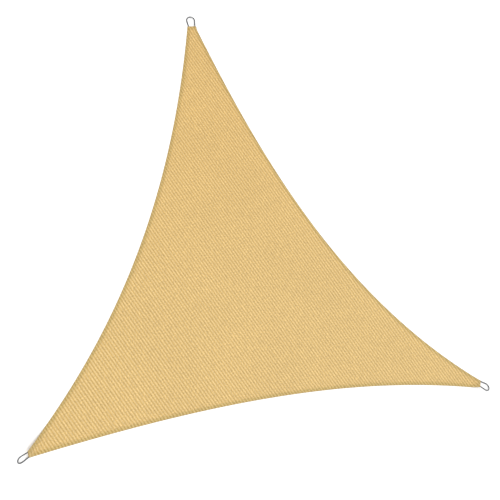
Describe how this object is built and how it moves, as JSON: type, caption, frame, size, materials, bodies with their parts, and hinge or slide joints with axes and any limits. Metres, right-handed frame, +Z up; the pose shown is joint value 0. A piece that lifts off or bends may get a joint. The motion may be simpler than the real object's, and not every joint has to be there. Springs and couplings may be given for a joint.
{
  "type": "shade sail",
  "caption": "Triangular garden shade sail of ribbed knit with hemmed, inward-curving edges and a steel D-ring in the folded end of each corner.",
  "frame": {"origin": "centre of the part's plan box, on the surface that the sail lies on", "axes": "+X from the left corner to the right one, +Y towards the top corner, +Z up from the surface"},
  "size_m": [3.1326, 2.7214, 0.054],
  "materials": {
    "cloth": "matt ribbed knit",
    "steel": "polished"
  },
  "bodies": {
    "root": {"canopy": "cloth", "ring_top": "steel", "ring_left": "steel", "ring_right": "steel"}
  },
  "joints": []
}
